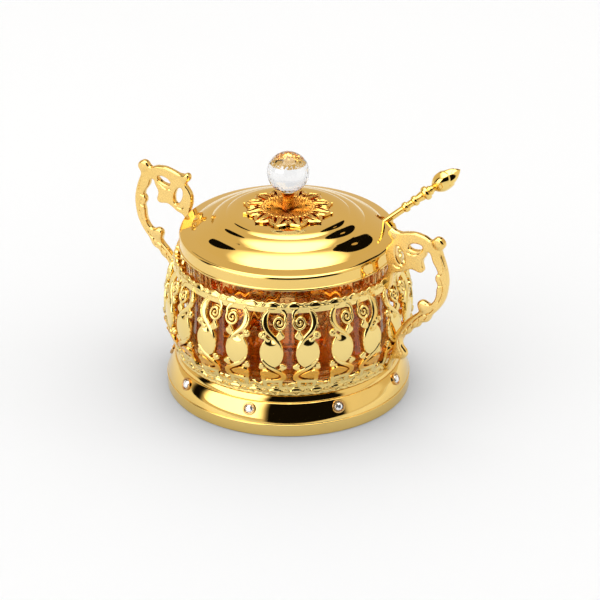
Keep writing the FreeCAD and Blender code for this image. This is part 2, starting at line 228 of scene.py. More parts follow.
def join(parts):
    vs, fs, n = [], [], 0
    for v, f in parts:
        vs.append(v)
        fs += [[x + n for x in q] for q in f]
        n += len(v)
    return np.vstack(vs), fs


def add(name, verts, faces, mat, body, nodes, slot, sharp=40, flat=False):
    me = bpy.data.meshes.new(name)
    me.from_pydata((np.asarray(verts) * MM).tolist(), [], faces)
    bm = bmesh.new()
    bm.from_mesh(me)
    bmesh.ops.recalc_face_normals(bm, faces=bm.faces)
    bm.to_mesh(me)
    bm.free()
    if flat:
        me.shade_flat()
    else:
        me.shade_smooth()
        me.set_sharp_from_angle(angle=RAD(sharp))
    me.materials.append(mat)
    ob = bpy.data.objects.new(name, me)
    sc.collection.objects.link(ob)
    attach(ob, body)
    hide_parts(*nodes)
    return ob


# ================================================================= materials


def new_mat(name):
    m = bpy.data.materials.new(name)
    m.use_nodes = True
    nt = m.node_tree
    p = nt.nodes["Principled BSDF"]
    tc = nt.nodes.new("ShaderNodeTexCoord")
    return m, nt, p, tc


def noise(nt, tc, scale, detail=3.0, rough=0.5, stretch=None):
    n = nt.nodes.new("ShaderNodeTexNoise")
    n.inputs["Scale"].default_value = scale
    n.inputs["Detail"].default_value = detail
    n.inputs["Roughness"].default_value = rough
    if stretch is None:
        nt.links.new(tc.outputs["Object"], n.inputs["Vector"])
    else:
        mp = nt.nodes.new("ShaderNodeMapping")
        mp.inputs["Scale"].default_value = stretch
        nt.links.new(tc.outputs["Object"], mp.inputs["Vector"])
        nt.links.new(mp.outputs["Vector"], n.inputs["Vector"])
    return n


def ramp(nt, src, lo, hi, f0=0.3, f1=0.7):
    r = nt.nodes.new("ShaderNodeValToRGB")
    r.color_ramp.elements[0].position, r.color_ramp.elements[1].position = f0, f1
    r.color_ramp.elements[0].color = (*lo, 1)
    r.color_ramp.elements[1].color = (*hi, 1)
    nt.links.new(src, r.inputs["Fac"])
    return r


def remap(nt, src, lo, hi, f0=0.3, f1=0.7):
    r = nt.nodes.new("ShaderNodeMapRange")
    for k, v in zip(("From Min", "From Max", "To Min", "To Max"), (f0, f1, lo, hi)):
        r.inputs[k].default_value = v
    nt.links.new(src, r.inputs["Value"])
    return r


def bump(nt, p, src, strength, dist):
    b = nt.nodes.new("ShaderNodeBump")
    b.inputs["Strength"].default_value = strength
    b.inputs["Distance"].default_value = dist
    nt.links.new(src, b.inputs["Height"])
    nt.links.new(b.outputs["Normal"], p.inputs["Normal"])


def gold(name, lo, hi, rough, patch, grain, bump_s, bump_d):
    """Gold plate: slow colour drift, and roughness and a faint skin from fine noise."""
    m, nt, p, tc = new_mat(name)
    p.inputs["Metallic"].default_value = 1.0
    n1 = noise(nt, tc, patch, 2.0)
    nt.links.new(ramp(nt, n1.outputs["Fac"], lo, hi).outputs["Color"], p.inputs["Base Color"])
    n2 = noise(nt, tc, grain, 4.0, 0.6)
    nt.links.new(remap(nt, n2.outputs["Fac"], *rough).outputs["Result"], p.inputs["Roughness"])
    if bump_s:
        bump(nt, p, n2.outputs["Fac"], bump_s, bump_d)
    return m


GOLD_LO, GOLD_HI = (0.865, 0.59, 0.172), (0.895, 0.63, 0.205)
m_polish = gold("gold_polished", GOLD_LO, GOLD_HI, (0.015, 0.05), 22, 180, 0.0, 0.0)
m_lid = gold("gold_lid", GOLD_LO, GOLD_HI, (0.015, 0.05), 22, 180, 0.0, 0.0)


def cast_gold(name, hollow, lo, hi, reach, f0, f1, axes=None, stops=()):
    """Cast gold plate with painted shade, deeper in colour in the hollows of its relief, and painted shade or
    reflection by stops (mm, colour) along the given axes.
    """
    m, nt, p, tc = new_mat(name)
    p.inputs["Metallic"].default_value = 1.0
    n1 = noise(nt, tc, 60, 2.0)
    # painted shade: ambient occlusion darkens the colour towards the first colour in the relief's hollows and creases
    ao = nt.nodes.new("ShaderNodeAmbientOcclusion")
    ao.samples = 8
    ao.only_local = True
    ao.inputs["Distance"].default_value = reach
    k = nt.nodes.new("ShaderNodeMath")
    k.operation = "MULTIPLY_ADD"
    nt.links.new(n1.outputs["Fac"], k.inputs[0])
    k.inputs[1].default_value = 0.12
    nt.links.new(ao.outputs["AO"], k.inputs[2])
    r = ramp(nt, k.outputs["Value"], hollow, hi, f0, 1.0)
    r.color_ramp.elements.new(f1).color = (*lo, 1)
    color = r.outputs["Color"]
    # painted shade and painted reflection: the colour is multiplied by the stops' colours by distance along the given
    # axes
    if axes:
        mp = nt.nodes.new("ShaderNodeMapping")
        mp.inputs["Scale"].default_value = axes
        nt.links.new(tc.outputs["Object"], mp.inputs["Vector"])
        ln = nt.nodes.new("ShaderNodeVectorMath")
        ln.operation = "LENGTH"
        nt.links.new(mp.outputs["Vector"], ln.inputs[0])
        top = stops[-1][0]
        h = remap(nt, ln.outputs["Value"], 0.0, 1.0, 0.0, top * MM)
        t = ramp(nt, h.outputs["Result"], stops[0][1], stops[-1][1], stops[0][0] / top, 1.0)
        for at, c in stops[1:-1]:
            t.color_ramp.elements.new(at / top).color = (*c, 1)
        mx = nt.nodes.new("ShaderNodeMix")
        mx.data_type = "RGBA"
        mx.blend_type = "MULTIPLY"
        mx.inputs["Factor"].default_value = 1.0
        nt.links.new(color, mx.inputs[6])
        nt.links.new(t.outputs["Color"], mx.inputs[7])
        color = mx.outputs[2]
    nt.links.new(color, p.inputs["Base Color"])
    n2 = noise(nt, tc, 900, 4.0, 0.6)
    nt.links.new(remap(nt, n2.outputs["Fac"], 0.05, 0.12).outputs["Result"], p.inputs["Roughness"])
    bump(nt, p, n2.outputs["Fac"], 0.08, 0.0001)
    return m


# painted shade: the bands darken to deep brown (0.20, 0.07, 0.01) in their hollows
m_cast = cast_gold("gold_cast", (0.20, 0.07, 0.01), (0.83, 0.565, 0.165), (0.89, 0.685, 0.255), 0.0014, 0.30, 0.74)
W1 = (1.0, 1.0, 1.0)
# painted reflection: the columns are multiplied by a deeper orange from 29.8 to 34.6 mm height, fading out by 28.6 and
# 36.6 mm; painted shade darkens their hollows
m_col = cast_gold("gold_column", (0.20, 0.07, 0.01), (0.83, 0.565, 0.165), (0.89, 0.685, 0.255), 0.0014, 0.30, 0.74, (0, 0, 1),
                  ((24, W1), (28.6, W1), (29.8, (0.98, 0.68, 0.30)), (34.6, (0.98, 0.68, 0.30)), (36.6, W1), (60, W1)))
# painted shade: the rosette is a deeper orange gold than the other castings, near black-red in its hollows, and
# multiplied deeper orange towards its centre under the ball, fading out by 17 mm radius
m_ros = cast_gold("gold_rosette", (0.20, 0.04, 0.008), (0.72, 0.33, 0.055), (0.87, 0.58, 0.17), 0.0028, 0.44, 0.88, (1, 1, 0),
                  ((0, (0.95, 0.72, 0.42)), (9, (0.96, 0.76, 0.48)), (13, (0.98, 0.86, 0.70)), (17, W1), (24, W1)))
m_cup = gold("gold_cup", (0.62, 0.36, 0.13), (0.74, 0.46, 0.18), (0.05, 0.12), 60, 600, 0.05, 0.0001)
m_spoon = gold("gold_spoon", (0.88, 0.62, 0.18), (0.92, 0.67, 0.22), (0.02, 0.06), 40, 300, 0.03, 0.0001)


def satin_gold():
    """Satin faces with a fine grain, and bright edges where the surface turns out of the plate's plane."""
    m, nt, p, tc = new_mat("gold_satin")
    p.inputs["Metallic"].default_value = 1.0
    n1 = noise(nt, tc, 45, 3.0)
    nt.links.new(ramp(nt, n1.outputs["Fac"], (0.87, 0.59, 0.185), (0.92, 0.65, 0.245)).outputs["Color"], p.inputs["Base Color"])
    n2 = noise(nt, tc, 1600, 3.0, 0.65)
    geo = nt.nodes.new("ShaderNodeNewGeometry")
    sep = nt.nodes.new("ShaderNodeSeparateXYZ")
    nt.links.new(geo.outputs["Normal"], sep.inputs["Vector"])
    ab = nt.nodes.new("ShaderNodeMath")
    ab.operation = "ABSOLUTE"
    nt.links.new(sep.outputs["Y"], ab.inputs[0])
    flat = remap(nt, ab.outputs["Value"], 0.0, 1.0, 0.88, 0.97)
    sat = remap(nt, n2.outputs["Fac"], 0.17, 0.28)
    mul = nt.nodes.new("ShaderNodeMath")
    mul.operation = "MULTIPLY_ADD"
    nt.links.new(flat.outputs["Result"], mul.inputs[0])
    nt.links.new(sat.outputs["Result"], mul.inputs[1])
    mul.inputs[2].default_value = 0.06
    nt.links.new(mul.outputs["Value"], p.inputs["Roughness"])
    hb = nt.nodes.new("ShaderNodeMath")
    hb.operation = "MULTIPLY"
    nt.links.new(flat.outputs["Result"], hb.inputs[0])
    nt.links.new(n2.outputs["Fac"], hb.inputs[1])
    bump(nt, p, hb.outputs["Value"], 0.25, 0.00012)
    return m


m_satin = satin_gold()


def glass(name, ior, rough, tint_lo, tint_hi, scale):
    m, nt, p, tc = new_mat(name)
    p.inputs["Transmission Weight"].default_value = 1.0
    p.inputs["IOR"].default_value = ior
    n1 = noise(nt, tc, scale, 2.0)
    nt.links.new(ramp(nt, n1.outputs["Fac"], tint_lo, tint_hi).outputs["Color"], p.inputs["Base Color"])
    n2 = noise(nt, tc, scale * 5, 2.0)
    nt.links.new(remap(nt, n2.outputs["Fac"], *rough).outputs["Result"], p.inputs["Roughness"])
    lp = nt.nodes.new("ShaderNodeLightPath")
    tr = nt.nodes.new("ShaderNodeBsdfTransparent")
    mx = nt.nodes.new("ShaderNodeMixShader")
    nt.links.new(lp.outputs["Is Shadow Ray"], mx.inputs["Fac"])
    nt.links.new(p.outputs["BSDF"], mx.inputs[1])
    nt.links.new(tr.outputs["BSDF"], mx.inputs[2])
    nt.links.new(mx.outputs["Shader"], nt.nodes["Material Output"].inputs["Surface"])
    return m


m_glass = glass("glass_amber", 1.47, (0.0, 0.012), (0.90, 0.63, 0.33), (0.95, 0.71, 0.41), 18)
m_crystal = glass("crystal", 1.62, (0.0, 0.006), (0.985, 0.985, 0.99), (1.0, 1.0, 1.0), 60)


def stone_mat():
    m, nt, p, tc = new_mat("stone_foiled")
    p.inputs["Metallic"].default_value = 0.85
    p.inputs["Coat Weight"].default_value = 1.0
    p.inputs["Coat Roughness"].default_value = 0.01
    n1 = noise(nt, tc, 700, 2.0)
    nt.links.new(ramp(nt, n1.outputs["Fac"], (0.80, 0.82, 0.86), (0.98, 0.98, 0.99)).outputs["Color"], p.inputs["Base Color"])
    nt.links.new(remap(nt, n1.outputs["Fac"], 0.02, 0.08).outputs["Result"], p.inputs["Roughness"])
    return m


m_stone = stone_mat()


def felt_mat():
    m, nt, p, tc = new_mat("felt")
    n1 = noise(nt, tc, 900, 6.0, 0.7)
    nt.links.new(ramp(nt, n1.outputs["Fac"], (0.045, 0.022, 0.018), (0.12, 0.065, 0.05)).outputs["Color"], p.inputs["Base Color"])
    nt.links.new(remap(nt, n1.outputs["Fac"], 0.85, 1.0).outputs["Result"], p.inputs["Roughness"])
    p.inputs["Sheen Weight"].default_value = 0.4
    bump(nt, p, n1.outputs["Fac"], 0.6, 0.0004)
    return m


m_felt = felt_mat()


def steel_mat():
    m, nt, p, tc = new_mat("steel")
    p.inputs["Metallic"].default_value = 1.0
    n1 = noise(nt, tc, 700, 4.0, 0.6, (1.0, 1.0, 6.0))
    nt.links.new(ramp(nt, n1.outputs["Fac"], (0.50, 0.50, 0.51), (0.68, 0.68, 0.69)).outputs["Color"], p.inputs["Base Color"])
    nt.links.new(remap(nt, n1.outputs["Fac"], 0.22, 0.38).outputs["Result"], p.inputs["Roughness"])
    bump(nt, p, n1.outputs["Fac"], 0.1, 0.0001)
    return m


m_steel = steel_mat()

for node, mat in (("foot_pad", m_felt), ("base_screws", m_steel), ("handle_rivets", m_satin), ("knob_washer", m_steel),
                  ("knob_screw", m_steel), ("spoon_scoop", m_spoon)):
    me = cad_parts[node].data
    me.materials.clear()
    me.materials.append(mat)

# ================================================================= foot

skirt = spline([(58.65, 6.3), (57.95, 8.7), (56.95, 11.3), (55.7, 14.0), (54.95, 15.2)], 26)
skirt_in = spline([(57.4, 6.0), (56.7, 8.4), (55.75, 10.9), (54.55, 13.5), (53.7, 14.7)], 14)
prof = np.vstack([
    soft_corners([(57.8, 0.0), (59.0, 0.0), (59.0, 5.7), (58.75, 5.95), (58.5, 6.05), (58.65, 6.3)], 0.3, 5),
    skirt[1:],
    soft_corners([(54.95, 15.2), (54.6, 15.45), (54.3, 15.35), (54.45, 15.75), (53.9, 17.2), (53.1, 18.4), (30.0, 18.4)], 0.2, 5)[1:],
    [(15.0, 18.4), (0.0, 18.4), (0.0, 17.2), (52.1, 17.2), (52.2, 16.1), (52.9, 15.6)],
    skirt_in[::-1], [(57.8, 5.5)],
])
add("base_skirt_v", *lathe(prof, 300), m_polish, "base", ["base_skirt"], "gold_polished", 38)


STONE_A = [-116.95, -76.85, -33.35, 6.95, 46.3, 85.65, 125.0, 164.35, 203.7]


def on_skirt(verts, k):
    """From a local Z axis onto the skirt at stone k."""
    m = Matrix.Rotation(RAD(STONE_A[k]), 4, "Z") @ Matrix.Translation((56.85, 0, 12.2)) @ Matrix.Rotation(RAD(66), 4, "Y")
    m = np.array(m)
    return verts @ m[:3, :3].T + m[:3, 3]


cup = lathe(soft_corners([(0.0, -1.3), (3.15, -1.3), (3.15, 0.55), (2.42, 0.7), (2.36, -0.5), (0.0, -0.5)], 0.3, 5), 48, closed=False)
add("stone_cups_v", *join([(on_skirt(cup[0], k), cup[1]) for k in range(9)]), m_cup, "base", ["stone_cups"], "gold_polished", 45)


def cut_stone():
    bm = bmesh.new()
    for r, t, n, o in ((2.2, -0.46, 16, 0.5), (2.3, 0.05, 16, 0.5), (1.75, 0.72, 8, 0.5), (0.85, 1.12, 8, 0.0)):
        for k in range(n):
            a = 2 * math.pi * (k + o) / n
            bm.verts.new((r * math.cos(a), r * math.sin(a), t))
    bmesh.ops.convex_hull(bm, input=bm.verts)
    bmesh.ops.dissolve_limit(bm, angle_limit=RAD(1), verts=bm.verts, edges=bm.edges)
    bm.verts.index_update()
    v = np.array([x.co[:] for x in bm.verts])
    f = [[x.index for x in q.verts] for q in bm.faces]
    bm.free()
    return v, f


stone = cut_stone()
add("base_stones_v", *join([(on_skirt(stone[0], k), stone[1]) for k in range(9)]), m_stone, "base", ["base_stones"], "crystal", flat=True)

# ================================================================= basket


def circle3(p, q, s):
    (ax, ay), (bx, by), (cx, cy) = p, q, s
    d = 2 * (ax * (by - cy) + bx * (cy - ay) + cx * (ay - by))
    ux = ((ax**2 + ay**2) * (by - cy) + (bx**2 + by**2) * (cy - ay) + (cx**2 + cy**2) * (ay - by)) / d
    uy = ((ax**2 + ay**2) * (cx - bx) + (bx**2 + by**2) * (ax - cx) + (cx**2 + cy**2) * (bx - ax)) / d
    return ux, uy, math.hypot(ax - ux, ay - uy)


CR, CZ, CRAD = circle3((53.0, 18.6), (59.8, 44.0), (52.5, 68.6))


def barrel(ang, z, off):
    """Point on the basket's outer surface at height z, moved off along its normal."""
    rho = np.sqrt(CRAD**2 - (z - CZ) ** 2)
    r = CR + rho * (1 + off / CRAD)
    zz = CZ + (z - CZ) * (1 + off / CRAD)
    return np.c_[r * np.cos(ang), r * np.sin(ang), zz]


def dome(rho, h, sharp=0.5):
    return h * np.maximum(1 - np.clip(rho, 0, 1) ** 2, 0) ** sharp


def swirl(cx, cz, r0, r1, a0, turns, n=40):
    t = np.linspace(0, 1, n)
    r = r0 + (r1 - r0) * t
    a = RAD(a0) - 2 * np.pi * turns * t
    return np.c_[cx + r * np.cos(a), cz + r * np.sin(a)]


def wide_stroke(P, rows, n=40, signed=False):
    """Signed distance to a stroke of varying half width, and how far across it the points lie. Rows are (x, z, half width)."""
    c = spline(rows, n)
    a, ab = c[:-1, :2], np.diff(c[:, :2], axis=0)
    t = np.clip(((P[:, None] - a) * ab).sum(2) / np.maximum((ab**2).sum(1), 1e-12), 0, 1)
    dist = np.sqrt(((P[:, None] - a - t[..., None] * ab) ** 2).sum(2))
    w = np.maximum(c[:-1, 2] + t * (c[1:, 2] - c[:-1, 2]), 0.05)
    d = dist - w
    i = d.argmin(1)
    r = np.arange(len(P))
    if signed:
        q = P - a[i]
        side = np.sign(ab[i, 0] * q[:, 1] - ab[i, 1] * q[:, 0])
        return d[r, i], side * dist[r, i] / w[r, i]
    return d[r, i], dist[r, i] / w[r, i]


def slab(rho, h):
    """Flat-topped section with rounded edges."""
    return h * np.sqrt(np.clip(1 - np.clip(rho, 0, 1) ** 5, 0, 1))


def column_parts(P):
    """Signed distance and height (mm above the casting's ground) of one scroll-and-medallion column."""
    parts = []
    x, z = P[:, 0], P[:, 1]

    def put(d, h):
        parts.append((d, np.where(d < 0.02, h, 0)))

    # medallion: flat face with a fine raised rim and a shallow hollow under the arm
    e = ellipse_sdf(P, 0, 44.4, 5.6, 7.9)
    h = 1.25 - 0.004 * x**2 - 0.95 * np.exp(-(((x + 0.3) / 2.3) ** 2) - ((z - 51.1) / 1.9) ** 2)
    h = np.maximum(h, 0.2) * np.sqrt(np.clip(1 - np.clip(1 + e / 0.45, 0, 1) ** 2, 0, 1))
    put(e, h - 0.12 * np.exp(-(((e + 0.85) / 0.16) ** 2)) * np.clip((50 - z) / 3, 0, 1))
    # long scroll arm from the top band round the left to the medallion's right edge
    arm = [(-1.0, 65.0, 0.8), (-2.9, 63.0, 1.4), (-3.8, 60.6, 1.75), (-3.75, 58.4, 1.75), (-2.95, 56.3, 1.55), (-1.5, 54.5, 1.3), (0.4, 52.8, 1.15),
           (2.2, 51.1, 0.95), (3.7, 49.2, 0.8), (4.8, 47.2, 0.45)]
    d, r = wide_stroke(P, arm, 60, signed=True)
    line, _ = wide_stroke(P, [(-2.6, 64.0, 0.1), (-4.1, 62.3, 0.1), (-4.75, 60.3, 0.1), (-4.6, 58.0, 0.1), (-3.7, 55.9, 0.1), (-2.1, 53.9, 0.1), (-0.2, 52.2, 0.1), (1.6, 50.5, 0.1)])
    put(d, 0.35 + (1.25 - 0.42 * (r + 0.7)) * np.sqrt(np.clip(1 - np.clip(np.abs(r), 0, 1) ** 5, 0, 1)) - 0.35 * np.exp(-((np.clip(line, 0, None) / 0.2) ** 2)))
    # spiral on its stem
    t = np.linspace(0, 1, 70)
    rad = 3.1 - 2.75 * t**1.15
    turn_a = RAD(24) - 2 * np.pi * 1.75 * t
    path = np.vstack([[(4.4, 65.0), (5.9, 63.9), (6.5, 62.2)], np.c_[3.35 + rad * np.cos(turn_a), 59.2 + 1.08 * rad * np.sin(turn_a)]])
    w = np.concatenate([[1.1, 1.1, 0.95], np.linspace(0.78, 0.6, 70)])
    d, r = wide_stroke(P, np.c_[path, w], 140)
    put(d, 0.45 + 1.0 * np.sqrt(np.clip(1 - np.clip(r, 0, 1) ** 2.6, 0, 1)))
    d = np.hypot(x - 3.35, (z - 59.2) / 1.08)
    put(d - 3.1, np.where(d < 3.1, 0.0, 0))
    d, r = wide_stroke(P, [(2.4, 64.7, 0.9), (4.0, 64.2, 1.0), (5.6, 63.4, 0.8)], 10)
    put(d, 0.2 + slab(r, 0.9))
    # bud with a curl at the medallion's left shoulder
    d = np.hypot(x + 4.35, z - 53.0)
    put(d - 2.0, 0.3 + slab(d / 2.0, 0.75))
    c, r = stroke(P, swirl(-4.35, 53.0, 1.5, 0.15, 200, 1.5, 24), 0.42, 0.32, 24)
    put(np.where(d < 2.0, c, 9), 0.85 + slab(r, 0.5))
    d, r = stroke(P, [(-4.0, 53.4), (-2.0, 54.6)], 1.2, 1.0, smooth=False)
    put(d, slab(r, 0.9))
    d, r = stroke(P, [(-3.6, 52.2), (-1.8, 50.8)], 1.2, 1.0, smooth=False)
    put(d, slab(r, 0.9))
    # three-cornered leaf between the spiral and the medallion's right shoulder
    tri = spline([(3.2, 56.9), (4.6, 56.7), (5.0, 54.9), (6.1, 53.4), (5.9, 52.2), (4.9, 51.3), (3.6, 50.6), (2.2, 51.9), (1.9, 53.4), (2.8, 54.7)], 80, closed=True)
    d = poly_sdf(P, tri)
    put(d, 0.25 + 0.95 * np.clip(-d / 0.5, 0, 1) ** 0.6 - 0.25 * np.exp(-(((x - 3.9) / 0.2) ** 2)) * (z < 54.5))
    # cloud-shaped leaves beside the medallion's foot
    for cx, cz, rr in ((-4.7, 37.6, 1.2), (-5.0, 36.2, 1.2), (-3.5, 35.8, 1.35), (4.6, 37.7, 1.2), (5.8, 36.8, 1.2), (4.6, 35.9, 1.3)):
        d = np.hypot(x - cx, z - cz)
        put(d - rr, 0.3 + slab(d / rr, 0.8))
    # ribbon that crosses the foot to the right and turns back along the bottom band
    rib = [(-4.2, 40.6, 0.45), (-1.8, 37.8, 0.8), (1.2, 35.9, 1.0), (3.7, 34.2, 1.15), (5.3, 32.2, 1.35), (5.2, 30.2, 1.45), (3.6, 28.8, 1.35), (1.3, 28.2, 1.3), (-1.4, 27.9, 1.25), (-3.8, 27.6, 1.1)]
    d, r = wide_stroke(P, rib, 60)
    put(d, 0.35 + slab(r, 0.45) + 0.17 * np.clip(z - 29, 0, 5.5))
    # puffed oval leaf with veins inside it, leaning down
    leaf = spline([(-5.9, 32.8), (-5.0, 34.8), (-2.9, 35.8), (-0.4, 35.3), (1.9, 34.0), (3.7, 31.9), (2.2, 30.3), (-0.6, 29.4), (-3.2, 29.1), (-5.2, 30.4)], 80, closed=True)
    d = poly_sdf(P, leaf)
    v = z - 32.1 + 0.16 * x
    put(d, 0.2 + (0.25 + 0.26 * (z - 29.2)) * np.clip(-d / 0.55, 0, 1) ** 0.6 - 0.2 * np.exp(-((v / 0.2) ** 2)) - 0.12 * np.exp(-(((np.abs(v) - 1.0) / 0.18) ** 2)))
    d, r = wide_stroke(P, [(-4.4, 36.0, 1.1), (-4.5, 35.0, 1.0), (-4.4, 34.0, 0.9)], 10)
    put(d, slab(r, 0.8))
    d, r = wide_stroke(P, [(-4.6, 30.6, 0.9), (-4.3, 29.0, 1.0), (-3.9, 27.2, 1.2), (-3.7, 25.4, 1.3)], 14)
    put(d, 0.1 + slab(r, 0.8))
    d, r = wide_stroke(P, [(4.0, 28.7, 1.1), (3.8, 27.0, 1.2), (3.7, 25.4, 1.3)], 10)
    put(d, 0.1 + slab(r, 0.8))
    D = np.min([p[0] for p in parts], 0)
    H = np.max([p[1] for p in parts], 0)
    return D, H


step = 0.27
CU = np.linspace(-7.0, 7.0, int(14.0 / step) + 1)
CV = np.linspace(24.9, 64.9, int(40.0 / step) + 1)
gu, gv = np.meshgrid(CU, CV, indexing="ij")
D0, _ = column_parts(np.c_[gu.ravel(), gv.ravel()])
par, polys = cut_grid(CU, CV, D0.reshape(gu.shape))
_, H0 = column_parts(par)
H0 = np.maximum(H0, 0.0)


def column(k):
    s = 1 if k % 2 == 0 else -1
    ang = RAD(360.0 / 22 * k) + s * par[:, 0] / 57.5
    f = barrel(ang, par[:, 1], -0.95 + H0)
    b = barrel(ang, par[:, 1], np.full(len(par), -1.6))
    return shell(polys, f, b)


for name, ks in (("basket_columns_a", range(0, 6)), ("basket_columns_b", range(6, 12)), ("basket_columns_c", range(12, 17)), ("basket_columns_d", range(17, 22))):
    add(name, *join([column(k) for k in ks]), m_col, "base", ["basket_columns"], "gold_cast", 50)


def band(z0, ztop, eye_z, count, phase, low_wave, r0, lean, fall, ledge=None):
    """Cast band: repeats of an almond under a lens-shaped slope and a small flower, with a scalloped top edge."""
    per, nv = 32, 34
    n = count * per
    ang = 2 * np.pi * np.arange(n) / n
    half = 180.0 / count
    arc = RAD(1) * 54.0
    u = ((np.degrees(ang) - phase + half) % (2 * half) - half) * arc
    hw = half * arc
    crest = np.cos(np.pi * np.clip(u / 3.3, -1, 1)) * 0.5 + 0.5
    v = np.where(u > 0, u - hw, u + hw)
    top = ztop + 0.75 * crest + 0.35 * np.clip(1 - (v / 1.1) ** 2, 0, 1)
    low = z0 - low_wave * (0.5 * crest + 0.5 * np.clip(1 - (v / 1.3) ** 2, 0, 1))
    verts, rows = [], []
    for j in range(nv + 1):
        t = j / nv
        z = low + (top - low) * t
        q = np.clip(1 - (u / 2.7) ** 2, 0, 1)
        za, zb = eye_z + 0.45 * q, eye_z + (1.45 if low_wave == 0 else 1.95) * q
        rho = np.abs(z - eye_z + 0.2 * q) / (0.75 * q + 1e-6)
        h = (0.3 + 0.35 * np.sqrt(np.clip(1 - rho**2, 0, 1))) * (rho < 1)
        h = np.where((z >= za) & (z <= zb + 0.05), (0.5 if low_wave == 0 else 0.8) - fall * (z - za), h)
        h = np.maximum(h, 0.42 * np.exp(-(((z - zb - 0.3) / 0.22) ** 2)) * np.clip((3.3 - np.abs(u)) / 0.6, 0, 1))
        line = eye_z - 1.25 * q - 0.35
        h = np.maximum(h, 0.35 * np.exp(-(((z - line) / 0.3) ** 2)))
        dd = np.hypot(v, z - eye_z - 0.3)
        a = np.arctan2(z - eye_z - 0.3, v)
        rr = 1.35 + 0.28 * np.cos(6 * a)
        h = np.maximum(h, 0.5 * np.clip(1 - (dd / rr) ** 4, 0, 1) - 0.3 * np.exp(-(((dd - 0.6) / 0.2) ** 2)) - 0.2 * np.clip(np.cos(6 * a + np.pi), 0, 1) ** 4 * (dd > 0.5))
        if low_wave == 0:
            h = np.maximum(h, 0.38 - 0.06 * (z - z0))
        else:
            h = np.maximum(h, 0.35 * np.exp(-(((z - low - 0.5) / 0.4) ** 2)))
            h = np.maximum(h, (0.38 + 0.16 * np.sin(u * 1.9 + 0.6)) * np.clip((z - eye_z - 2.7) / 1.2, 0, 1))
        edge = min(t, 1 - t) * nv
        if edge < 1:
            h = h * 0.4 - 0.25
        rows.append(range(len(verts), len(verts) + n))
        rr = r0 + lean * (z - z0) + h
        verts.extend(np.c_[rr * np.cos(ang), rr * np.sin(ang), z])
    for t in (1.0, 0.5, 0.0):
        z = low + (top - low) * t
        rows.append(range(len(verts), len(verts) + n))
        verts.extend(barrel(ang, z, np.full(n, -1.6)))
    faces = []
    for i in range(len(rows)):
        a, b = rows[i], rows[(i + 1) % len(rows)]
        faces += [[a[j], a[(j + 1) % n], b[(j + 1) % n], b[j]] for j in range(n)]
    out = [(np.array(verts), faces)]
    if ledge:
        out.append(lathe(ledge, 240))
    return join(out)


add("top_band_v", *band(63.2, 67.8, 66.3, 34, -55.0, 0.0, 55.0, -0.16, 0.35), m_cast, "base", ["top_band"], "gold_cast", 60)
add("bottom_band_v", *band(19.4, 26.2, 22.0, 35, -54.0, 0.6, 54.0, 0.24, 0.8, [(42.5, 18.45), (52.5, 18.45), (52.6, 19.85), (42.5, 19.85)]), m_cast, "base", ["bottom_band"], "gold_cast", 60)

# ================================================================= handles

outline = [
    (50.0, 62.4), (51.0, 68.6), (53.6, 69.8), (55.0, 72.5), (55.8, 75.6), (55.2, 77.9), (54.7, 80.0), (54.5, 82.2), (54.7, 84.2),
    (55.5, 86.2), (56.9, 87.9), (57.9, 89.3), (57.5, 90.5), (56.3, 91.8), (55.7, 93.5), (56.2, 95.1), (57.5, 95.6), (59.1, 94.9),
    (60.3, 94.6), (62.0, 94.5), (64.4, 95.1), (67.3, 95.8), (70.2, 96.2), (73.1, 95.9), (76.2, 95.2), (78.5, 94.4),
    (79.4, 95.0), (80.4, 96.2), (81.9, 96.8), (83.5, 96.6), (84.9, 95.6), (85.7, 94.2), (85.6, 92.6), (84.9, 91.5), (84.2, 90.4),
    (84.3, 88.9), (85.2, 86.6), (86.3, 83.6), (87.2, 80.4), (87.8, 77.0), (87.9, 74.0), (87.6, 71.2), (87.1, 68.2), (86.3, 65.4),
    (85.1, 62.8), (83.6, 60.4), (81.9, 58.2), (80.3, 56.4), (79.4, 54.8), (78.7, 53.2), (77.6, 51.9), (76.0, 51.1), (74.5, 50.4),
    (73.8, 49.2), (73.0, 48.1), (71.8, 47.3), (70.4, 46.4), (69.2, 45.0), (68.2, 43.4), (66.6, 42.1), (65.0, 40.9), (63.9, 39.4),
    (63.8, 37.5), (64.2, 35.8), (65.3, 34.5), (66.3, 33.3), (66.7, 31.8), (66.1, 30.0), (64.7, 28.6), (63.0, 27.9), (61.3, 27.8),
    (59.6, 26.8), (58.4, 24.6), (57.4, 21.2), (55.0, 19.4),
    (50.5, 20.2), (51.0, 24.8), (56.4, 26.8), (58.0, 30.0), (58.6, 34.6), (59.2, 38.6), (60.8, 42.2), (62.5, 44.9), (64.4, 47.6),
    (66.2, 49.8), (68.3, 51.9), (70.2, 53.6), (71.8, 55.0), (72.7, 56.4), (72.4, 58.1), (72.0, 59.8), (72.5, 61.3), (73.7, 62.1),
    (75.2, 62.2), (76.6, 61.7), (77.7, 61.3), (78.7, 61.5), (79.8, 62.5), (81.0, 64.3), (81.7, 66.4), (82.0, 68.6), (82.1, 70.4),
    (82.5, 72.0), (82.2, 73.6), (81.5, 74.8), (81.3, 76.2), (81.8, 77.5), (82.5, 78.6), (82.2, 80.0), (81.3, 81.6), (80.2, 83.2),
    (79.4, 84.9), (78.9, 86.6), (77.9, 88.0), (76.8, 88.0), (76.1, 86.7), (75.5, 85.0), (74.6, 83.7), (74.1, 82.2), (74.3, 80.4),
    (74.8, 78.7), (74.6, 77.4), (73.5, 76.6), (71.9, 76.6), (70.1, 77.0), (68.4, 77.1), (66.7, 76.4), (65.2, 75.6), (64.0, 74.8),
    (62.7, 74.2), (61.2, 73.8), (59.8, 73.2), (58.6, 71.6), (57.8, 68.0), (57.2, 65.0), (55.5, 62.6),
]
contour = spline(outline, 700, closed=True)


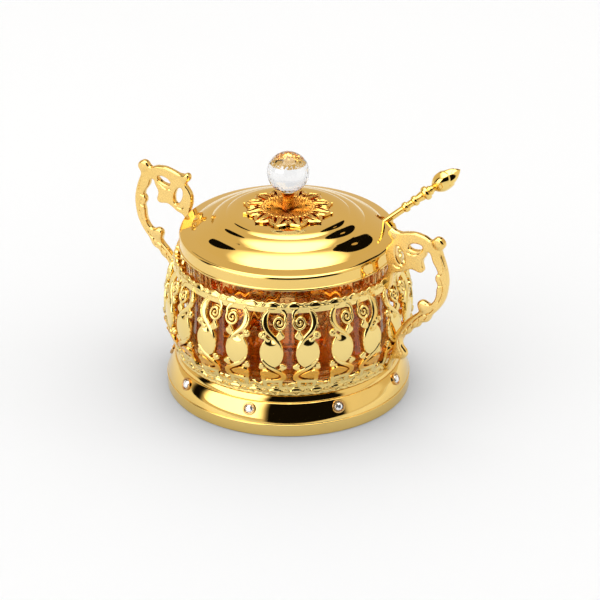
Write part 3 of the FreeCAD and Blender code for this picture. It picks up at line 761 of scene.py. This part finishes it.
def handle_sdf(P):
    d = poly_sdf(P, contour)
    d = np.maximum(d, -ellipse_sdf(P, 70.5, 89.1, 3.75, 1.75, 13))
    d = np.maximum(d, -ellipse_sdf(P, 62.3, 82.7, 4.7, 2.2, 109))
    z = np.clip(P[:, 1], 17, 70.4)
    core = CR + np.sqrt(CRAD**2 - (z - CZ) ** 2) + 0.05 - P[:, 0]
    core = np.where(P[:, 1] > 70.4, -np.hypot(P[:, 1] - 70.4, np.maximum(-core, 0)), core)
    return np.maximum(d, core)


HU = np.linspace(51.5, 88.7, 126)
HV = np.linspace(18.6, 98.6, 268)
gu, gv = np.meshgrid(HU, HV, indexing="ij")
hpar, hpolys = cut_grid(HU, HV, handle_sdf(np.c_[gu.ravel(), gv.ravel()]).reshape(gu.shape))
hd = np.maximum(-handle_sdf(hpar), 0)
er = 0.75
ht = 1.6 - er + np.sqrt(np.clip(er**2 - (er - np.minimum(hd, er)) ** 2, 0, None))
for kx, kz, kr, kh in ((82.6, 93.9, 3.1, 0.55), (57.7, 93.1, 2.9, 0.55), (74.6, 59.4, 3.2, 0.5)):
    rho = np.hypot(hpar[:, 0] - kx, hpar[:, 1] - kz) / kr
    ht = ht + kh * np.clip(1 - rho**2, 0, 1) * np.clip(hd / 0.8, 0, 1)
for pts, w in (([(82.0, 79.2), (83.3, 78.0), (84.4, 78.6)], 0.35), ([(81.9, 73.2), (83.2, 72.3), (84.4, 73.0)], 0.35), ([(83.4, 88.6), (84.6, 85.0), (85.4, 80.6)], 0.3),
               ([(84.0, 76.0), (85.2, 72.0), (84.6, 67.6), (83.2, 64.0)], 0.3), ([(66.6, 85.2), (69.4, 84.9), (72.6, 86.6), (74.4, 88.6)], 0.32), ([(59.0, 77.6), (60.6, 76.4), (62.8, 76.8)], 0.32),
               ([(80.6, 59.6), (78.4, 57.0), (76.0, 55.4)], 0.3), ([(77.2, 56.2), (76.6, 53.8), (75.6, 52.6)], 0.28), ([(74.8, 55.2), (71.8, 52.4), (69.2, 49.4), (66.8, 46.2), (64.4, 42.8)], 0.34),
               ([(72.6, 53.0), (72.6, 50.6), (72.0, 48.9)], 0.28), ([(69.6, 49.8), (69.6, 47.6), (68.8, 46.2)], 0.28), ([(66.6, 46.0), (66.9, 44.4), (66.2, 43.2)], 0.28),
               ([(62.2, 38.2), (62.6, 34.8), (64.2, 32.0)], 0.4)):
    _, rho = stroke(hpar, pts, w, w)
    ht = ht - 0.34 * np.clip(1 - rho**2, 0, 1) * np.clip(hd / 0.6, 0, 1)
low = np.clip((58 - hpar[:, 1]) / 8, 0, 1)
ht = ht - 0.5 * low * np.clip(1 - hd / 2.2, 0, 1) ** 2
f = np.c_[hpar[:, 0], -ht, hpar[:, 1]]
b = np.c_[hpar[:, 0], ht, hpar[:, 1]]
hv, hf = shell(hpolys, f, b)
add("handle_right_v", hv, hf, m_satin, "base", ["handle_right"], "gold_satin", 42)
add("handle_left_v", hv * (-1, 1, 1), [q[::-1] for q in hf], m_satin, "base", ["handle_left"], "gold_satin", 42)

# ================================================================= glass liner

rim = [(47.3 + 1.3 * math.cos(t), 75.9 + 1.3 * math.sin(t)) for t in np.linspace(0, math.pi, 13)]
low_o = [(44.4 + 4.2 * math.sin(t), 24.5 - 4.2 * math.cos(t)) for t in np.linspace(0, math.pi / 2, 9)]
low_i = [(43.6 + 2.4 * math.cos(t), 28.7 - 2.4 * math.sin(t)) for t in np.linspace(0, math.pi / 2, 9)]
wall_o = [(48.6, z) for z in np.linspace(26, 74, 14)]
wall_i = [(46.0, z) for z in np.linspace(74, 31, 14)]
waves = [(r, 26.3 + 0.16 * math.cos((42 - r) * 2.6) * (r > 22)) for r in np.linspace(43.0, 12, 94)]
gp = np.array([(0, 21.1), (34.0, 21.1), (34.6, 20.6), (35.4, 20.3)] + low_o + wall_o + rim + wall_i + low_i + waves + [(0, 26.3)])


def flutes(i, r, z, ang):
    k = 0.0
    if 45.5 < r < 46.5 and 30 < z < 73:
        k = 0.10 * min(1, (73 - z) / 4) * min(1, (z - 30) / 4)
    return r + k * np.cos(40 * ang)


gv_, gf_ = lathe(gp, 400, closed=False, warp=flutes)
add("glass_bowl_v", gv_, gf_, m_glass, "liner", ["glass_bowl"], "glass_amber", 50)

# ================================================================= lid

tiers = ([(46.1, 81.3), (44.5, 82.45), (42.0, 83.75), (39.0, 84.95), (36.6, 85.6)],
         [(36.6, 85.6), (35.5, 86.5), (33.6, 87.6), (31.4, 88.4), (29.6, 88.85)],
         [(29.6, 88.85), (28.7, 89.4), (27.0, 90.0), (24.8, 90.42), (22.8, 90.5)])
dome_s = np.vstack([spline(q, 18)[: (18 if i == 2 else 17)] for i, q in enumerate(tiers)])
shoulder = np.c_[np.linspace(46.1, 50.7, 7), np.linspace(81.3, 80.3, 7)]
t = np.linspace(0, 1, 15)[:, None]
rim_arc = (1 - t) ** 2 * np.array([50.7, 80.3]) + 2 * t * (1 - t) * np.array([52.1, 80.0]) + t**2 * np.array([52.1, 78.4])
flange = np.array([(52.1, z) for z in (77.6, 76.6, 75.6, 74.6)])
hem = spline([(52.1, 74.2), (52.42, 73.95), (52.55, 73.6), (52.45, 73.2), (52.1, 73.0)], 7)
lp = np.vstack([[(1.6, 90.5), (12.0, 90.5), (20.0, 90.5)], dome_s[::-1], shoulder[1:], rim_arc[1:], flange, hem])
tan = np.gradient(lp, axis=0)
tan /= np.linalg.norm(tan, axis=1)[:, None]
nrm = np.c_[-tan[:, 1], tan[:, 0]]
nrm[nrm @ np.array([0.3, 1.0]) < 0] *= -1
inner = lp - 0.9 * nrm
fl = lp[:, 1] < 78.35
inner[fl, 0] = 51.2
inner[fl, 1] = lp[fl, 1]
LU = np.arange(len(lp), dtype=float)
LV = np.linspace(0, 2 * np.pi, 481)


def prof_at(pr, u):
    return np.interp(u, LU, pr[:, 0]), np.interp(u, LU, pr[:, 1])


def notch(r, ang):
    x, y = r * np.cos(ang - RAD(43)), r * np.sin(ang - RAD(43))
    return 2.8 - np.where(x < 45.4, np.hypot(x - 45.4, y), np.abs(y))


gu, gv = np.meshgrid(LU, LV, indexing="ij")
par2, polys2 = cut_grid(LU, LV, notch(prof_at(lp, gu)[0], gv), wrap=True)


def turn(pr):
    r, z = prof_at(pr, par2[:, 0])
    return np.c_[r * np.cos(par2[:, 1]), r * np.sin(par2[:, 1]), z]


rib_u = np.linspace(46.7, 47.9, 4)
gu, gv = np.meshgrid(rib_u, LV, indexing="ij")
par3, polys3 = cut_grid(rib_u, LV, notch(gu, gv), wrap=True)
rib_x, rib_y = par3[:, 0] * np.cos(par3[:, 1]), par3[:, 0] * np.sin(par3[:, 1])
rib = shell(polys3, np.c_[rib_x, rib_y, np.full(len(par3), 80.35)], np.c_[rib_x, rib_y, np.full(len(par3), 77.3)])
add("lid_shell_v", *join([shell(polys2, turn(lp), turn(inner)), rib]), m_lid, "lid", ["lid_shell"], "gold_polished", 14)

# ================================================================= rosette and knob


def petal(P):
    x, y = P[:, 0] * np.cos(P[:, 1]), np.abs(P[:, 0] * np.sin(P[:, 1]))
    w = np.interp(x, [15.6, 17.6, 18.8, 19.7, 20.3, 20.9, 21.6, 22.2], [4.25, 4.55, 4.15, 3.0, 1.9, 1.0, 0.45, -0.1])
    edge = np.where(x > 15.6, (y - w) * np.interp(x, [17.5, 19.2], [0.97, 0.6]), -2.0)
    q = np.c_[x, y]
    s, _ = stroke(q, [(13.4, 2.45), (19.0, 1.25)], 0.85, 0.5, smooth=False)
    s2, _ = stroke(q, [(8.6, 0.0), (11.0, 0.0)], 0.3, 0.42, smooth=False)
    s3 = np.hypot(x - 15.2 * math.cos(RAD(15)), y - 15.2 * math.sin(RAD(15))) - 0.85
    s = np.minimum(np.minimum(s, s2), s3)
    d = np.maximum(edge, -s)
    r, a = P[:, 0], P[:, 1]
    h = 91.05 + 0.95 * np.sin(np.pi * np.clip((r - 4) / 18.6, 0, 1)) ** 1.2
    rim = 0.55 * np.exp(-(((edge + 0.75) / 0.45) ** 2)) * (x > 15.6)
    rib = 0.45 * np.exp(-((y / 0.42) ** 2)) * np.clip((r - 11.5) / 1.5, 0, 1)
    inn = np.clip((11.4 - r) / 0.8, 0, 1) * (0.16 * np.cos(72 * a) + 0.12 * np.sin(r * 5.2) * np.cos(36 * a + r))
    bead = 0.5 * np.sqrt(np.clip(1 - ((np.hypot(r - 11.9, (np.abs(a) % RAD(7.5) - RAD(3.75)) * 11.9)) / 0.62) ** 2, 0, 1))
    fan = 0.1 * np.cos(60 * a) * np.clip((r - 12.5) / 1, 0, 1) * np.clip((17 - r) / 2, 0, 1)
    slit = 0.3 * np.exp(-(((s - 0.35) / 0.3) ** 2))
    return d, h, h + np.maximum.reduce([rim, rib, bead, slit]) + inn + fan


RU = np.linspace(1.7, 22.4, 76)
RV = np.linspace(-RAD(15), RAD(15), 49)
gu, gv = np.meshgrid(RU, RV, indexing="ij")
d0 = petal(np.c_[gu.ravel(), gv.ravel()])[0]
rpar, rpolys = cut_grid(RU, RV, d0.reshape(gu.shape))
_, zb, zt = petal(rpar)


def petal_mesh(k):
    a = rpar[:, 1] + RAD(17.15 + 30 * k)
    c, s = np.cos(a), np.sin(a)
    return shell(rpolys, np.c_[rpar[:, 0] * c, rpar[:, 0] * s, zt], np.c_[rpar[:, 0] * c, rpar[:, 0] * s, np.maximum(zb - 0.6, 90.62)])


rv, rf = join([petal_mesh(k) for k in range(12)])
add("lid_rosette_v", rv, rf, m_ros, "lid", ["lid_rosette"], "gold_cast", 50)

post = np.vstack([[(0, 90.9), (3.0, 90.9), (2.95, 91.6), (2.9, 92.0)],
                  spline([(2.9, 92.0), (2.75, 93.6), (2.7, 96.0), (2.85, 98.0), (3.5, 99.6), (4.7, 100.9)], 30)[1:], [(4.4, 101.0), (3.2, 100.5), (1.6, 100.1), (0, 99.95)]])
add("knob_post_v", *lathe(post, 96, closed=False), m_polish, "lid", ["knob_post"], "gold_polished", 35)


def cut_ball(radius, z0, n=30, m=15):
    """Ball cut with rows of flat facets round the vertical axis, each row half a facet on from the last."""
    bm = bmesh.new()
    bm.verts.new((0, 0, radius))
    bm.verts.new((0, 0, -radius))
    for i in range(1, m):
        lat = math.pi * (0.5 - i / m)
        k = max(8, int(round(n * math.cos(lat) / 2)) * 2)
        for j in range(k):
            a = 2 * math.pi * (j + 0.5 * (i % 2)) / k + 0.1
            bm.verts.new((radius * math.cos(lat) * math.cos(a), radius * math.cos(lat) * math.sin(a), radius * math.sin(lat)))
    bmesh.ops.convex_hull(bm, input=bm.verts)
    bm.verts.index_update()
    v = np.array([x.co[:] for x in bm.verts]) + (0, 0, z0)
    f = [[x.index for x in q.verts] for q in bm.faces]
    bm.free()
    return v, f


add("crystal_ball_v", *cut_ball(10.1, 110.0), m_crystal, "lid", ["crystal_ball"], "crystal", flat=True)

# ================================================================= spoon


def lay(verts):
    m = Matrix.Rotation(RAD(43), 4, "Z") @ Matrix.Translation((44.97, 0, 78.4)) @ Matrix.Rotation(RAD(90 - 33.46), 4, "Y")
    m = np.array(m)
    return verts @ m[:3, :3].T + m[:3, 3]


stem = soft_corners([(0, -68.0), (1.7, -68.0), (1.7, 13.3), (2.45, 13.9), (2.6, 15.0), (2.45, 16.0), (1.65, 16.5), (1.8, 18.9), (2.5, 19.4), (2.65, 20.3), (2.5, 21.2),
                     (1.9, 21.7), (2.35, 24.3), (2.3, 24.9), (3.3, 25.5), (3.65, 26.8), (3.3, 28.0), (2.3, 28.5), (2.5, 29.3), (1.7, 30.2), (1.9, 31.0), (0, 31.0)], 0.45, 4)
sv, sf = lathe(stem, 64, closed=False)
add("spoon_stem_v", lay(sv), sf, m_spoon, "spoon", ["spoon_stem"], "gold_polished", 40)

fin = spline([(1.9, 31.02), (3.3, 32.4), (4.45, 35.2), (4.5, 38.2), (3.6, 41.8), (1.9, 45.2), (0.0, 46.9)], 60)
fin = np.vstack([[(0, 31.02)], fin])
fin[-1, 0] = 0


def bud(i, r, z, ang):
    """Two layers of pointed leaves that overlap on a bud."""
    e1 = 38.0 + 2.6 * np.abs(np.cos(1.5 * ang + 0.4)) ** 0.8
    e2 = 42.0 + 2.4 * np.abs(np.sin(1.5 * ang + 0.4)) ** 0.8
    up = np.clip((z - 31.5) / 3, 0, 1)
    lay1 = 0.42 * np.clip((e1 - z) / 0.35, 0, 1) * up
    lay2 = 0.30 * np.clip((e2 - z) / 0.35, 0, 1) * up
    groove = 0.12 * np.cos(6 * ang + 0.8) * up * np.clip((46 - z) / 4, 0, 1)
    return np.maximum(r - 0.45 * up + lay1 + lay2 + groove, 0.02)


fv, ff = lathe(fin, 96, closed=False, warp=bud)
add("spoon_finial_v", lay(fv), ff, m_spoon, "spoon", ["spoon_finial"], "gold_polished", 45)

# ================================================================= studio


def plain(name, color, rough=0.6):
    m, nt, p, tc = new_mat(name)
    n1 = noise(nt, tc, 3, 2.0)
    nt.links.new(ramp(nt, n1.outputs["Fac"], tuple(0.99 * c for c in color), color).outputs["Color"], p.inputs["Base Color"])
    p.inputs["Roughness"].default_value = rough
    p.inputs["Specular IOR Level"].default_value = 0.1
    return m


bm = bmesh.new()
bmesh.ops.create_grid(bm, x_segments=8, y_segments=8, size=6.0)
me = bpy.data.meshes.new("floor")
bm.to_mesh(me)
bm.free()
floor = bpy.data.objects.new("floor", me)
floor.location.z = -0.0002
sc.collection.objects.link(floor)
me.materials.append(plain("floor_white", (0.93, 0.93, 0.93)))

AZ, DIST = RAD(32.152), 1.5


def sky_dir(az, el):
    """Unit direction at azimuth az (degrees to the right of the camera's own azimuth) and elevation el."""
    a = AZ + RAD(az)
    return Vector((math.sin(a) * math.cos(RAD(el)), -math.cos(a) * math.cos(RAD(el)), math.sin(RAD(el))))


def glow(name, color, strength):
    """Even, faintly mottled light for a studio surface that fades out towards its edges."""
    m, nt, p, tc = new_mat(name)
    p.inputs["Base Color"].default_value = (0, 0, 0, 1)
    p.inputs["Specular IOR Level"].default_value = 0.0
    n1 = noise(nt, tc, 2, 2.0)
    nt.links.new(ramp(nt, n1.outputs["Fac"], tuple(0.96 * c for c in color), color).outputs["Color"], p.inputs["Emission Color"])
    p.inputs["Emission Strength"].default_value = strength
    at = nt.nodes.new("ShaderNodeAttribute")
    at.attribute_name = "cover"
    nt.links.new(at.outputs["Fac"], p.inputs["Alpha"])
    return m


def surround_mat():
    """Warm walls low down and a bright ceiling, with a soft change between them."""
    m, nt, p, tc = new_mat("surround")
    p.inputs["Base Color"].default_value = (0, 0, 0, 1)
    p.inputs["Specular IOR Level"].default_value = 0.0
    sep = nt.nodes.new("ShaderNodeSeparateXYZ")
    nt.links.new(tc.outputs["Object"], sep.inputs["Vector"])
    h = remap(nt, sep.outputs["Z"], 0.0, 1.0, 0.0, 2.8)
    r = nt.nodes.new("ShaderNodeValToRGB")
    cr = r.color_ramp
    cr.elements[0].position, cr.elements[0].color = 0.0, (0.80, 0.70, 0.55, 1)
    cr.elements[1].position, cr.elements[1].color = 1.0, (1.0, 1.0, 1.0, 1)
    for pos, c in ((0.10, (0.74, 0.62, 0.44)), (0.78, (0.74, 0.62, 0.44)), (0.90, (1.0, 0.98, 0.93))):
        cr.elements.new(pos).color = (*c, 1)
    nt.links.new(h.outputs["Result"], r.inputs["Fac"])
    nt.links.new(r.outputs["Color"], p.inputs["Emission Color"])
    st = remap(nt, h.outputs["Result"], 1.0, 3.4, 0.80, 0.92)
    nt.links.new(st.outputs["Result"], p.inputs["Emission Strength"])
    return m


def hidden(name, verts, faces, mat, cover=None):
    """Studio surface that is seen only in reflections and through glass."""
    me = bpy.data.meshes.new(name)
    me.from_pydata(verts, [], faces)
    me.shade_smooth()
    at = me.attributes.new("cover", "FLOAT", "POINT")
    at.data.foreach_set("value", [1.0] * len(verts) if cover is None else cover)
    me.materials.append(mat)
    ob = bpy.data.objects.new(name, me)
    ob.visible_camera = False
    ob.visible_diffuse = False
    ob.visible_shadow = False
    sc.collection.objects.link(ob)
    return ob


def card(name, mat, az0, az1, el0, el1, dist, fade=0.0):
    na, ne = max(2, int((az1 - az0) / 2) + 1), max(2, int((el1 - el0) / 4) + 1)
    A, E = np.linspace(az0, az1, na), np.linspace(el0, el1, ne)
    v = [tuple(sky_dir(a, e) * dist) for a in A for e in E]
    edge = np.clip(np.minimum(A - az0, az1 - A) / fade, 0, 1) if fade else np.ones(na)
    cover = [float(c) for c in edge * edge * (3 - 2 * edge) for e in E]
    f = [[i * ne + j, (i + 1) * ne + j, (i + 1) * ne + j + 1, i * ne + j + 1] for i in range(na - 1) for j in range(ne - 1)]
    return hidden(name, v, f, mat, cover)


def disc(name, mat, az, el, ra, re, dist, n=28):
    v = [tuple(sky_dir(az, el) * dist)]
    for k in range(n):
        t = 2 * math.pi * k / n
        v.append(tuple(sky_dir(az + ra * math.cos(t) / math.cos(RAD(el)), el + re * math.sin(t)) * dist))
    hidden(name, v, [[0, 1 + k, 1 + (k + 1) % n] for k in range(n)], mat)


m_black = glow("card_black", (0.006, 0.005, 0.004), 1.0)
card("surround", surround_mat(), -180, 180, 1.2, 90, 2.8).visible_transmission = False
card("card_front", m_black, -24, 56, 1.5, 55, 2.6, 6.0)
card("box_left", glow("box_white", (1.0, 0.98, 0.94), 3.0), -88, -20, 5, 50, 2.62, 12.0)
card("card_left", m_black, -104, -82, 0.5, 50, 2.6, 7.0)
card("box_right", glow("box_warm", (0.98, 0.90, 0.76), 0.95), 50, 104, 3, 52, 2.62, 10.0)
disc("lamp_left", m_black, -147, 45.5, 4.8, 8.5, 2.6)
disc("lamp_right", m_black, 147.5, 44.5, 11.5, 12.0, 2.6)
disc("lamp_right_core", glow("lamp_warm", (0.7, 0.5, 0.28), 1.0), 149, 45.2, 2.2, 1.8, 2.55)


def softbox(name, az, el, dist, w, h, radiance):
    li = bpy.data.lights.new(name, "AREA")
    li.shape = "RECTANGLE"
    li.size, li.size_y = w, h
    li.energy = radiance * math.pi * w * h
    ob = bpy.data.objects.new(name, li)
    d = sky_dir(az, el)
    ob.location = d * dist + Vector((0, 0, 0.06))
    ob.rotation_euler = d.to_track_quat("Z", "Y").to_euler()
    ob.visible_camera = False
    ob.visible_glossy = False
    ob.visible_transmission = False
    sc.collection.objects.link(ob)


softbox("top", 180, 78, 1.9, 1.2, 1.2, 1.45)
softbox("left", -62, 28, 2.0, 1.1, 1.4, 0.7)
softbox("right", 88, 30, 2.0, 1.0, 1.3, 0.5)

world = bpy.data.worlds.new("studio")
sc.world = world
world.use_nodes = True
bg = world.node_tree.nodes["Background"]
bg.inputs["Color"].default_value = (1.0, 1.0, 1.0, 1)
bg.inputs["Strength"].default_value = 0.86

sc.view_settings.view_transform = "Standard"
sc.cycles.caustics_reflective = False
sc.cycles.max_bounces = 18
sc.cycles.glossy_bounces = 14
sc.cycles.transmission_bounces = 16
sc.cycles.transparent_max_bounces = 16

# ================================================================= camera

cam = bpy.data.objects.new("camera", bpy.data.cameras.new("camera"))
sc.collection.objects.link(cam)
cam.data.sensor_width = 36.0
cam.data.sensor_fit = "HORIZONTAL"
cam.data.lens = 187.65
cam.data.clip_start, cam.data.clip_end = 0.05, 50
d = sky_dir(0, 26.247)
q = d.to_track_quat("Z", "Y")
right, up = q @ Vector((1, 0, 0)), q @ Vector((0, 1, 0))
cam.location = Vector((0, 0, 0.060)) + DIST * d
aim = Vector((0, 0, 0.060)) + 0.005595 * right - 0.0158 * up
cam.rotation_mode = "QUATERNION"
cam.rotation_quaternion = (cam.location - aim).to_track_quat("Z", "Y")
sc.camera = cam

bpy.context.view_layer.update()
